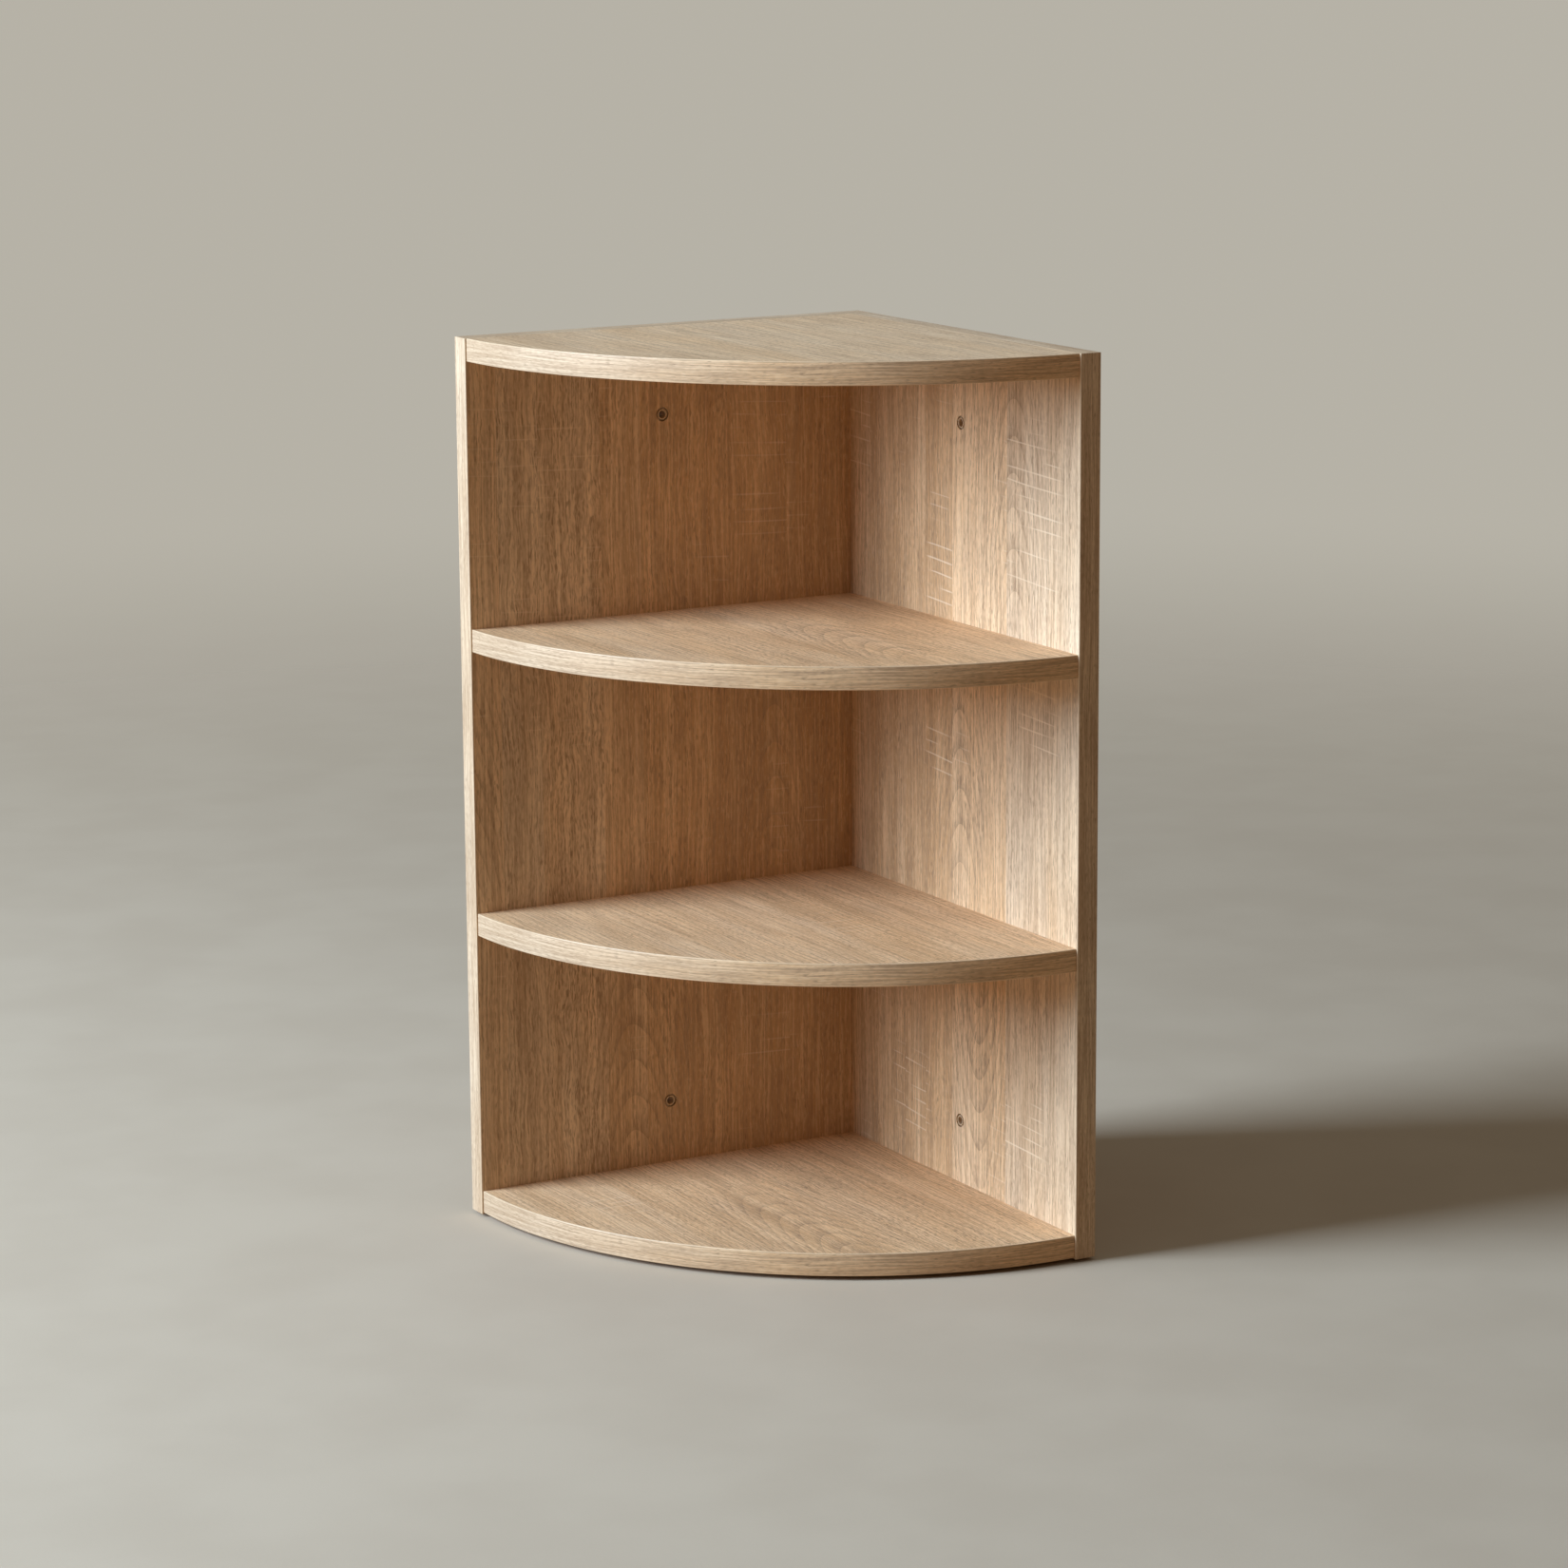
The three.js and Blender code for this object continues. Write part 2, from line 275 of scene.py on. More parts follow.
SCREW_SHANK_RADIUS = 3.5
SCREW_CORE_RADIUS = 2.6
SCREW_THREAD_PITCH = 3.5
SCREW_RIDGE_SHARE = 0.5  # of the pitch
SCREW_THREAD_LENGTH = 40.0
SCREW_POINT_LENGTH = 3.0
SCREW_HEAD_HEIGHT = 3.5
SCREW_SOCKET_WIDTH = 4.0  # across the flats
SCREW_SOCKET_DEPTH = 2.5
SCREW_DRILL_DEPTH = 3.3  # where the drilled cone in the socket's floor ends
SCREW_DRILL_RADIUS = 0.3
SCREW_RIM = 0.5  # rounding of the head's rim and chamfer of the socket's mouth
RINGS_PER_TURN = 8


def hexagon(width):
    """Radius of a hexagon of that width across its flats, as a function of the angle."""
    def radius(angle):
        off_flat = (angle + math.pi / 6) % (math.pi / 3) - math.pi / 6
        return width / 2 / math.cos(off_flat)
    return radius


def thread(height):
    """Radius of the threaded shank at a height, as a function of the angle: one winding ridge."""
    taper = min(height / SCREW_POINT_LENGTH, 1.0)

    def radius(angle):
        phase = (height / SCREW_THREAD_PITCH - angle / (2 * math.pi)) % 1.0
        ridge_highlight = max(0.0, 1.0 - abs(phase - 0.5) * 2 / SCREW_RIDGE_SHARE)
        return taper * (SCREW_CORE_RADIUS + (SCREW_SHANK_RADIUS - SCREW_CORE_RADIUS) * ridge_highlight)
    return radius


def screw_mesh(node):
    length = node_length(node)
    head_radius = node_width(node) / 2
    head_low = length - SCREW_HEAD_HEIGHT
    count = int(SCREW_THREAD_LENGTH / SCREW_THREAD_PITCH * RINGS_PER_TURN)
    rings = [ring(POINT_RADIUS, 0.0)]
    for step in range(1, count):
        height = SCREW_THREAD_LENGTH * step / count
        rings.append(ring(thread(height), height))
    rings.append(ring(SCREW_SHANK_RADIUS, SCREW_THREAD_LENGTH))
    rings.append(ring(SCREW_SHANK_RADIUS, head_low))
    rings.append(ring(head_radius, head_low))
    rings += reversed(fillet((head_radius - SCREW_RIM, length), (head_radius, length - SCREW_RIM)))
    socket = hexagon(SCREW_SOCKET_WIDTH)
    rings.append(ring(hexagon(SCREW_SOCKET_WIDTH + SCREW_RIM), length))
    rings.append(ring(socket, length - SCREW_RIM / 2))
    rings.append(ring(socket, length - SCREW_SOCKET_DEPTH))
    rings.append(ring(SCREW_DRILL_RADIUS, length - SCREW_DRILL_DEPTH))
    return rings_mesh("screw", rings)


DOWEL_FLUTES = 16
DOWEL_FLUTE_DEPTH = 0.25
DOWEL_CHAMFER = 1.0


def dowel_mesh(node):
    length = node_length(node)
    radius = node_width(node) / 2

    def fluted(angle):
        return radius - DOWEL_FLUTE_DEPTH * (0.5 - 0.5 * math.cos(DOWEL_FLUTES * angle))
    end_radius = radius - DOWEL_CHAMFER
    return rings_mesh("dowel", [
        ring(end_radius, 0.0),
        ring(fluted, DOWEL_CHAMFER),
        ring(fluted, length - DOWEL_CHAMFER),
        ring(end_radius, length),
    ])


SLEEVE_BORE_RADIUS = 3.0
SLEEVE_STEP = 1.1  # how far the face stands in from the side
SLEEVE_STEP_DEPTH = 2.0
SLEEVE_FILLET = 0.35


def sleeve_mesh(node):
    """A tube. Its stepped face is at the low end, in the compartment."""
    length = node_length(node)
    radius = node_width(node) / 2
    face = radius - SLEEVE_STEP
    rings = [
        ring(radius, length),
        ring(radius, SLEEVE_STEP_DEPTH),
        ring(face, SLEEVE_STEP_DEPTH),
        ring(face, SLEEVE_FILLET),
        ring(face - SLEEVE_FILLET / 3, SLEEVE_FILLET / 3),
        ring(face - SLEEVE_FILLET, 0.0),
    ]
    rings += fillet((SLEEVE_BORE_RADIUS + SLEEVE_FILLET, 0.0), (SLEEVE_BORE_RADIUS, SLEEVE_FILLET))
    rings.append(ring(SLEEVE_BORE_RADIUS, length))
    return rings_mesh("sleeve", rings, closed_loop=True)


GLIDE_DISC_HEIGHT = 2.5
GLIDE_FILLET = 0.8
GLIDE_NAIL_RADIUS = 1.25
GLIDE_NAIL_POINT = 2.5


def glide_mesh(node):
    length = node_length(node)
    radius = node_width(node) / 2
    rings = fillet((radius - GLIDE_FILLET, 0.0), (radius, GLIDE_FILLET))
    rings.append(ring(radius, GLIDE_DISC_HEIGHT))
    rings.append(ring(GLIDE_NAIL_RADIUS, GLIDE_DISC_HEIGHT))
    rings.append(ring(GLIDE_NAIL_RADIUS, length - GLIDE_NAIL_POINT))
    rings.append(ring(POINT_RADIUS, length))
    return rings_mesh("glide", rings)


# Shader building

class Tree:
    """Short calls for a node tree. A plain number or tuple is set on the socket, anything else is linked."""

    def __init__(self, tree):
        self.tree = tree

    def put(self, socket, value):
        if isinstance(value, bpy.types.NodeSocket):
            self.tree.links.new(value, socket)
        elif socket.type == "RGBA":
            socket.default_value = (*value, 1.0)
        else:
            socket.default_value = value

    def node(self, kind, inputs=(), **settings):
        made = self.tree.nodes.new(kind)
        for key, value in settings.items():
            setattr(made, key, value)
        for key, value in dict(inputs).items():
            self.put(made.inputs[key], value)
        return made

    def math(self, operation, *values):
        made = self.node("ShaderNodeMath", operation=operation)
        for socket, value in zip(made.inputs, values):
            self.put(socket, value)
        return made.outputs[0]

    def add(self, *values):
        total = values[0]
        for value in values[1:]:
            total = self.math("ADD", total, value)
        return total

    def times(self, *values):
        total = values[0]
        for value in values[1:]:
            total = self.math("MULTIPLY", total, value)
        return total

    def vector(self, operation, first, second):
        made = self.node("ShaderNodeVectorMath", operation=operation)
        self.put(made.inputs[0], first)
        self.put(made.inputs[1], second)
        return made.outputs[0]

    def split(self, vector):
        return self.node("ShaderNodeSeparateXYZ", {"Vector": vector}).outputs

    def joined(self, x, y, z):
        return self.node("ShaderNodeCombineXYZ", {"X": x, "Y": y, "Z": z}).outputs[0]

    def noise(self, vector, cell, detail=1.0):
        """Smooth noise from 0 to 1. cell is the size of its grain in each direction."""
        factors = tuple(1 / size for size in cell)
        made = self.node("ShaderNodeTexNoise", {
            "Vector": self.vector("MULTIPLY", vector, factors), "Scale": 1.0, "Detail": detail,
        })
        return made.outputs["Fac"]

    def swing(self, noise, amount):
        """Noise turned into an offset that goes both ways."""
        return self.times(self.math("SUBTRACT", noise, 0.5), amount)

    def between(self, value, low, high, to_low=0.0, to_high=1.0):
        """value eased from low..high to to_low..to_high, and held at both ends."""
        made = self.node("ShaderNodeMapRange", {
            "Value": value, "From Min": low, "From Max": high, "To Min": to_low, "To Max": to_high,
        }, interpolation_type="SMOOTHSTEP")
        return made.outputs["Result"]

    def mixed(self, kind, share, first, second):
        """A Mix node. Its sockets are found by identifier, because several share a name."""
        made = self.node("ShaderNodeMix", data_type={"Color": "RGBA", "Float": "FLOAT"}[kind])
        sockets = {socket.identifier: socket for socket in made.inputs}
        self.put(sockets["Factor_Float"], share)
        self.put(sockets["A_" + kind], first)
        self.put(sockets["B_" + kind], second)
        return next(socket for socket in made.outputs if socket.identifier == "Result_" + kind)

    def mix(self, share, first, second):
        return self.mixed("Color", share, first, second)

    def blend(self, share, first, second):
        return self.mixed("Float", share, first, second)

    def object_mm(self):
        place = self.node("ShaderNodeTexCoord").outputs["Object"]
        return self.vector("MULTIPLY", place, (1 / MM, 1 / MM, 1 / MM))

    def bump(self, height, depth):
        """Surface normal for a height from 0 to 1 that stands for that depth in millimetres."""
        return self.node("ShaderNodeBump", {"Height": height, "Distance": depth * MM}).outputs["Normal"]

    def surface(self, color, roughness, normal=None, **constants):
        shader = self.node("ShaderNodeBsdfPrincipled", {"Base Color": color, "Roughness": roughness})
        if normal:
            self.put(shader.inputs["Normal"], normal)
        for key, value in constants.items():
            self.put(shader.inputs[key.replace("_", " ")], value)
        return shader.outputs["BSDF"]


def new_material(name):
    """A material with an empty tree, and a function that takes its finished shader."""
    material = bpy.data.materials.new(name)
    material.use_nodes = True
    material.node_tree.nodes.clear()
    tree = Tree(material.node_tree)

    def finish(shader):
        output = tree.node("ShaderNodeOutputMaterial")
        tree.put(output.inputs["Surface"], shader)
        return material
    return tree, finish


# Oak decor. Colours are linear. A cell is the size of a noise's grain: across, along and through the
# board. Levels are the noise values between which a mark fades in, and shares are its greatest strength.

EVEN_LEVELS = (0.3, 0.7)  # most of a noise lies between these, so both ends of a mix show

OAK_PALE = (0.87, 0.71, 0.535)
OAK_DEEP = (0.50, 0.365, 0.24)
OAK_COOL = (0.98, 0.985, 0.99)
OAK_WARM = (1.11, 0.86, 0.60)
OAK_LINE = (0.41, 0.262, 0.155)
OAK_PORE = (0.25, 0.152, 0.086)
OAK_RIDGE_HIGHLIGHT = (0.94, 0.72, 0.485)
OAK_SAW = (0.97, 0.78, 0.575)

LONG_SWING = 8.0
LONG_SWING_CELL = (80.0, 170.0, 60.0)
WAVE_SWING = 6.0
WAVE_SWING_CELL = (30.0, 30.0, 60.0)
STRAIGHT_SWING = 1.0
DASH_CELL = (1.1, 6.0, 25.0)
DASH_LEVELS = (0.45, 0.63)
DASH_SHARE = 0.44
DASH_FIGURES = (0.5, 0.85)  # in plain and in lively figure
DASH_HIGHLIGHT_LEVELS = (0.34, 0.44)
STREAK_CELL = (1.5, 70.0, 25.0)
STREAK_LEVELS = (0.38, 0.66)
STREAK_SHARE = 0.48
STREAK_HIGHLIGHT_LEVELS = (0.33, 0.42)
RIDGE_HIGHLIGHT_SHARE = 0.30
BELT_CELL = (16.0, 420.0, 60.0)
BELT_SWING = 1.4
BELT_TINT = 0.6
PORE_CELL = (1.05, 7.0, 25.0)
PORE_LEVELS = (0.66, 0.78)
PORE_FIGURE = 0.05  # how much a lively figure widens the pores
PORE_SHARES = (0.42, 0.52)  # in plain and in lively figure
PORE_SHIFT = (31.0, 47.0, 0.0)  # keeps the pores apart from the dashes
BLOTCH_CELL = (30.0, 95.0, 40.0)
BLOTCH_SWING = 1.1
ZONE_CELL = (50.0, 130.0, 50.0)
ZONE_SWING = 0.6
ZONE_SHIFT = (90.0, 70.0, 0.0)
SHADE_RANGE = (-0.2, 1.2)
TINT_RANGE = (-0.3, 1.3)
DENSITY_CELL = (34.0, 70.0, 40.0)
DENSITY_SHARES = (0.7, 1.2)
RING_SPACING = 5.0
RING_DRIFT = 3.0
RING_DRIFT_CELL = (24.0, 210.0, 60.0)
RING_SHARES = (0.13, 0.40)  # plain rings and arches
RING_RISE = 30.0
RING_WOBBLE = 0.8
RING_WOBBLE_CELL = (50.0, 110.0, 30.0)
RING_SHARPNESS = 2.5
RING_BEND = 0.2
RING_CROWDING = 0.8
SAW_PITCH = 10.5
SAW_DRIFT = 0.7
SAW_DRIFT_CELL = (150.0, 30.0, 40.0)
SAW_LENGTH_CELL = (60.0, 8.0, 9.0)
SAW_LENGTH_LEVELS = (0.38, 0.54)
SAW_PATCH_CELL = (48.0, 70.0, 30.0)
SAW_PATCH_LEVELS = (0.62, 0.72)
SAW_PATCH_SHARE = 0.3
SAW_SLANT = -0.05
SAW_HALF_ROWS = (0.02, 0.085)
SAW_SHARE = 0.66
OAK_ROUGHNESS = 0.46
MARK_ROUGHNESS = 0.14
BLOTCH_ROUGHNESS = 0.10
PLAIN_HEIGHT = 0.7
PORE_DROP = 0.5
DASH_DROP = 0.2
OAK_GRAIN_DEPTH = 0.07
OAK_IOR = 1.46
OAK_INPUTS = ("Tone", "Warmth", "Figure", "Contour", "Rings", "Saw")


def grain_marks(t, bent, figure):
    """How strongly dashes, streaks, pores and the painted highlights on the ridges between them show."""
    dashes = t.noise(bent, DASH_CELL)
    streaks = t.noise(bent, STREAK_CELL)
    pores = t.add(t.noise(t.vector("ADD", bent, PORE_SHIFT), PORE_CELL, detail=0.0),
                  t.times(figure, PORE_FIGURE))
    ridge_highlight = t.math("MAXIMUM", t.between(dashes, *DASH_HIGHLIGHT_LEVELS, 1.0, 0.0),
                   t.between(streaks, *STREAK_HIGHLIGHT_LEVELS, 1.0, 0.0))
    return (t.between(dashes, *DASH_LEVELS), t.between(streaks, *STREAK_LEVELS),
            t.between(pores, *PORE_LEVELS), ridge_highlight)


def ring_marks(t, point, bent, swing, contour, rings):
    """How strongly growth rings show: plain ones, and the nested arches of contour where rings is 1."""
    plain = t.add(t.math("DIVIDE", t.split(bent)["X"], RING_SPACING),
                  t.times(t.noise(bent, RING_DRIFT_CELL, detail=0.0), RING_DRIFT))
    arched = t.add(contour, t.times(swing, RING_BEND / RING_SPACING),
                   t.swing(t.noise(point, RING_WOBBLE_CELL, detail=2.0), RING_WOBBLE))
    marks = [t.times(t.math("POWER", t.math("FRACT", lines), RING_SHARPNESS), share)
             for lines, share in zip((plain, arched), RING_SHARES)]
    return t.blend(rings, *marks)


def saw_marks(t, point, saw):
    """How strongly saw marks show: slanting rows, broken up along their length."""
    place = t.split(point)
    row = t.add(t.math("DIVIDE", place["Y"], SAW_PITCH), t.times(place["X"], SAW_SLANT / SAW_PITCH),
                t.times(t.noise(point, SAW_DRIFT_CELL), SAW_DRIFT))
    row = t.math("ABSOLUTE", t.math("SUBTRACT", t.math("FRACT", row), 0.5))
    patch = t.between(t.noise(point, SAW_PATCH_CELL), *SAW_PATCH_LEVELS, 0.0, SAW_PATCH_SHARE)
    length = t.between(t.noise(point, SAW_LENGTH_CELL, detail=0.0), *SAW_LENGTH_LEVELS)
    return t.times(t.between(row, *SAW_HALF_ROWS, 1.0, 0.0), length, t.math("MAXIMUM", patch, saw))


def new_oak_group():
    """An empty group with the oak decor's sockets."""
    group = bpy.data.node_groups.new("oak_decor", "ShaderNodeTree")
    sockets = group.interface.new_socket
    sockets("Point", in_out="INPUT", socket_type="NodeSocketVector")
    for name in OAK_INPUTS:
        sockets(name, in_out="INPUT", socket_type="NodeSocketFloat")
    sockets("Color", in_out="OUTPUT", socket_type="NodeSocketColor")
    for name in ("Roughness", "Height"):
        sockets(name, in_out="OUTPUT", socket_type="NodeSocketFloat")
    return group


def oak_decor():
    """The printed oak: a group that turns a place in the board into colour, roughness and height."""
    group = new_oak_group()
    t = Tree(group)
    given = t.node("NodeGroupInput").outputs
    point = given["Point"]
    tone, warmth, figure, contour, rings, saw = (given[name] for name in OAK_INPUTS)

    wave = t.add(t.times(figure, WAVE_SWING), STRAIGHT_SWING)
    swing = t.add(t.swing(t.noise(point, LONG_SWING_CELL), LONG_SWING),
                  t.swing(t.noise(point, WAVE_SWING_CELL), wave))
    bent = t.vector("ADD", point, t.joined(swing, 0.0, 0.0))
    dash, streak, pore, ridge_highlight = grain_marks(t, bent, figure)
    ring_share = ring_marks(t, point, bent, swing, contour, rings)
    saw_share = saw_marks(t, point, saw)
    blotch = t.noise(point, BLOTCH_CELL, detail=2.0)
    zone = t.noise(t.vector("ADD", point, ZONE_SHIFT), ZONE_CELL)
    belt = t.noise(bent, BELT_CELL, detail=2.0)
    density = t.between(t.noise(point, DENSITY_CELL, detail=2.0), *EVEN_LEVELS, *DENSITY_SHARES)

    shade = t.add(tone, t.swing(blotch, BLOTCH_SWING), t.swing(belt, BELT_SWING))
    base = t.mix(t.between(shade, *SHADE_RANGE), OAK_DEEP, OAK_PALE)
    tint = t.between(t.add(warmth, t.swing(belt, -BELT_TINT), t.swing(zone, ZONE_SWING)), *TINT_RANGE)
    base = t.vector("MULTIPLY", base, t.mix(tint, OAK_COOL, OAK_WARM))
    # painted highlight of the embossed ridges between the dark marks, which also lifts the grain's contrast
    color = t.mix(t.times(ridge_highlight, RIDGE_HIGHLIGHT_SHARE), base, OAK_RIDGE_HIGHLIGHT)
    crowding = t.add(density, t.times(ring_share, RING_CROWDING))
    line_share = t.add(t.times(dash, crowding, t.blend(figure, *DASH_FIGURES), DASH_SHARE),
                       t.times(streak, STREAK_SHARE), ring_share)
    color = t.mix(line_share, color, OAK_LINE)
    color = t.mix(t.times(pore, density, t.blend(figure, *PORE_SHARES)), color, OAK_PORE)
    color = t.mix(t.times(saw_share, SAW_SHARE), color, OAK_SAW)
    roughness = t.add(OAK_ROUGHNESS, t.times(pore, MARK_ROUGHNESS), t.times(line_share, MARK_ROUGHNESS),
                      t.swing(blotch, BLOTCH_ROUGHNESS))
    height = t.add(PLAIN_HEIGHT, t.times(pore, -PORE_DROP), t.times(dash, -DASH_DROP))

    output = t.node("NodeGroupOutput")
    for name, value in (("Color", color), ("Roughness", roughness), ("Height", height)):
        t.put(output.inputs[name], value)
    return group


OAK = oak_decor()


def oak(tree, point, **shares):
    """The oak group's colour, roughness and height at that point. An input that isn't given stays 0."""
    made = tree.node("ShaderNodeGroup", node_tree=OAK)
    tree.put(made.inputs["Point"], point)
    for key, value in shares.items():
        tree.put(made.inputs[key], value)
    return made.outputs["Color"], made.outputs["Roughness"], made.outputs["Height"]


def stave_values(tree, across, width, rows):
    """Tone, warmth and figure of the stave at that distance across. rows: each stave's start and values."""
    ramp = tree.node("ShaderNodeValToRGB", {"Fac": tree.math("DIVIDE", across, width)})
    ramp.color_ramp.interpolation = "CONSTANT"
    elements = ramp.color_ramp.elements
    elements.remove(elements[1])
    for index, (start, *values) in enumerate(rows):
        element = elements.new(start / width) if index else elements[0]
        element.color = (*values, 1.0)
    return tree.node("ShaderNodeSeparateColor", {"Color": ramp.outputs["Color"]}).outputs


PATCH_CORE = 0.55  # the part of a patch's half size that shows in full


def patch_share(tree, across, along, patch):
    """1 inside a soft-edged patch (middle across, middle along, half width, half height), 0 outside."""
    middle_across, middle_along, half_width, half_height = patch
    edges = []
    for value, middle, half in ((across, middle_across, half_width), (along, middle_along, half_height)):
        off = tree.math("ABSOLUTE", tree.math("SUBTRACT", value, middle))
        edges.append(tree.between(off, half * PATCH_CORE, half, 1.0, 0.0))
    return tree.times(*edges)


def saw_strength(tree, u, v, saws):
    """How strong the saw marks are at that place."""
    strongest = 0.0
    for *patch, strength in saws:
        share = tree.times(patch_share(tree, u, v, patch), strength)
        strongest = tree.math("MAXIMUM", strongest, share)
    return strongest


ARCH_CORE = 0.65  # the part of a nest's half width that shows in full
ARCH_FADE = 0.3  # the part of a nest's length over which each end fades


def arches(tree, u, v, rings):
    """The contour of the nests of arches at that place, and how strongly they show."""
    contour, strongest = 0.0, 0.0
    for middle_u, top_v, half_u, fall, length in rings:
        side = tree.math("DIVIDE", tree.math("SUBTRACT", u, middle_u), half_u)
        down = tree.math("SUBTRACT", v, top_v)
        share = tree.times(tree.between(tree.math("ABSOLUTE", side), ARCH_CORE, 1.0, 1.0, 0.0),
                           tree.between(down, 0.0, length * ARCH_FADE),
                           tree.between(down, length * (1 - ARCH_FADE), length, 1.0, 0.0))
        arc = tree.math("DIVIDE", tree.math("SUBTRACT", down, tree.times(side, side, fall)), RING_RISE)
        contour = tree.blend(tree.math("GREATER_THAN", share, strongest), contour, arc)
        strongest = tree.math("MAXIMUM", strongest, share)
    return contour, strongest


CHIP_BASE = (0.60, 0.45, 0.29)
CHIP_DARK = (0.33, 0.21, 0.12)
CHIP_PALE = (0.76, 0.62, 0.44)
CHIP_CELL = (1.6, 1.6, 1.6)
CHIP_DARK_LEVELS = (0.0, 0.35)
CHIP_PALE_LEVELS = (0.65, 1.0)
CHIP_DUST_CELL = (0.5, 0.5, 0.5)
CHIP_DUST_LEVELS = (0.55, 0.75)
CHIP_DUST_SHARE = 0.5
CHIP_RELIEF = (0.6, 0.4)  # the chips' and the dust's parts of the height
CHIP_DEPTH = 0.25
CHIP_ROUGHNESS = 0.85


def chipboard(tree, place):
    """Colour and height of a sawn particle board edge."""
    cells = tree.vector("MULTIPLY", place, tuple(1 / size for size in CHIP_CELL))
    chips = tree.node("ShaderNodeTexVoronoi", {"Vector": cells, "Scale": 1.0})
    pick = tree.split(chips.outputs["Color"])["X"]
    dust = tree.noise(place, CHIP_DUST_CELL, detail=2.0)
    color = tree.mix(tree.between(pick, *CHIP_DARK_LEVELS), CHIP_DARK, CHIP_BASE)
    color = tree.mix(tree.between(pick, *CHIP_PALE_LEVELS), color, CHIP_PALE)
    color = tree.mix(tree.between(dust, *CHIP_DUST_LEVELS, 0.0, CHIP_DUST_SHARE), color, CHIP_DARK)
    return color, tree.add(tree.times(pick, CHIP_RELIEF[0]), tree.times(dust, CHIP_RELIEF[1]))


BOARD_SPAN = 360.0
FACE_LEVELS = (0.7, 0.8)  # how squarely a surface must face along face_axis to wear the decor
STAVE_SHIFT = 1700.0  # moves each stave's grain along by its tone and warmth, so that no two look alike


def board_material(name, across, along, face_axis, staves, rings=(), saws=()):
    """Decor on a board's two faces, chipboard on its cut edges and in its holes.

    across and along are each an axis, where it starts and its direction.
    """
    tree, finish = new_material(name)
    place = tree.object_mm()
    axes = tree.split(place)

    def measured(axis, origin, way):
        return tree.times(tree.math("SUBTRACT", axes[axis], origin), way)
    u, v, w = measured(*across), measured(*along), axes[face_axis]
    values = stave_values(tree, u, BOARD_SPAN, staves)
    tone, warmth, figure = (values[key] for key in ("Red", "Green", "Blue"))
    shift = tree.add(tree.times(tone, STAVE_SHIFT), tree.times(warmth, STAVE_SHIFT))
    contour, arch_share = arches(tree, u, v, rings)
    point = tree.joined(u, tree.add(v, shift), w)
    color, roughness, height = oak(tree, point, Tone=tone, Warmth=warmth, Figure=figure, Contour=contour,
                                   Rings=arch_share, Saw=saw_strength(tree, u, v, saws))
    chip_color, chip_height = chipboard(tree, place)
    normal = tree.split(tree.node("ShaderNodeTexCoord").outputs["Normal"])[face_axis]
    face = tree.between(tree.math("ABSOLUTE", normal), *FACE_LEVELS)
    color = tree.mix(face, chip_color, color)
    roughness = tree.blend(face, CHIP_ROUGHNESS, roughness)
    height = tree.blend(face, tree.times(chip_height, CHIP_DEPTH), tree.times(height, OAK_GRAIN_DEPTH))
    return finish(tree.surface(color, roughness, tree.bump(height, 1.0), IOR=OAK_IOR))


# Staves: start across, tone, warmth, figure. Rings: a nest of arches' middle across, start along, half
# width, fall of an arch at the half width (negative where the arches point the other way) and length.
# Saws: a patch of saw marks' middle across and along, half width, half height and strength.
FREE_END, INNER_FACE, PANEL_TOP = -180.0, 162.0, 702.5  # where across and along start

# Its staves hold painted shade: the last ones, toward the inner corner, are painted dark and warm where the
# corner's shade falls.
LEFT_PANEL = dict(
    across=("X", FREE_END, 1.0), along=("Z", PANEL_TOP, -1.0), face_axis="Y",
    staves=((0, 0.66, 0.60, 0.10), (24, 0.60, 0.38, 0.70), (60, 0.66, 0.46, 0.90), (114, 0.50, 0.70, 0.20),
            (150, 0.30, 1.00, 0.40), (228, 0.10, 1.00, 0.10), (282, 0.04, 1.00, 0.15)),
    rings=((-10, 240, 56, 260, 250), (270, 220, 52, 300, 260), (140, 470, 66, 330, 250)),
    saws=((76, 102, 52, 46, 0.40), (262, 118, 34, 74, 0.40), (20, 72, 26, 50, 0.30), (76, 214, 50, 18, 0.25),
          (262, 590, 34, 26, 0.30), (180, 505, 26, 26, 0.2)),
)
# Its staves hold painted shade: from the inner corner to 158 they are painted darker and warmer, the painted
# shadow that the left panel casts.
RIGHT_PANEL = dict(
    across=("Y", INNER_FACE, -1.0), along=("Z", PANEL_TOP, -1.0), face_axis="X",
    staves=((0, 0.36, 0.80, 0.20), (31, 0.24, 1.00, 0.20), (85, 0.32, 1.00, 0.10), (118, 0.36, 1.15, 0.25),
            (158, 1.00, 0.84, 0.20), (239, 0.88, 0.40, 0.10)),
    rings=((250, -20, 58, 270, 270), (172, 240, 50, 200, 230), (200, 470, 60, -280, 250)),
    saws=((276, 126, 48, 76, 1.0), (140, 192, 24, 34, 0.9), (150, 335, 40, 24, 0.9), (286, 290, 34, 34, 0.9),
          (264, 607, 36, 44, 1.0), (96, 622, 34, 44, 0.8), (14, 94, 24, 36, 0.6), (140, 132, 18, 22, 0.5)),
)


def shelf_layout(*staves, rings=(), saws=()):
    return dict(across=("X", FREE_END, 1.0), along=("Y", INNER_FACE, -1.0), face_axis="Z",
                staves=staves, rings=rings, saws=saws)


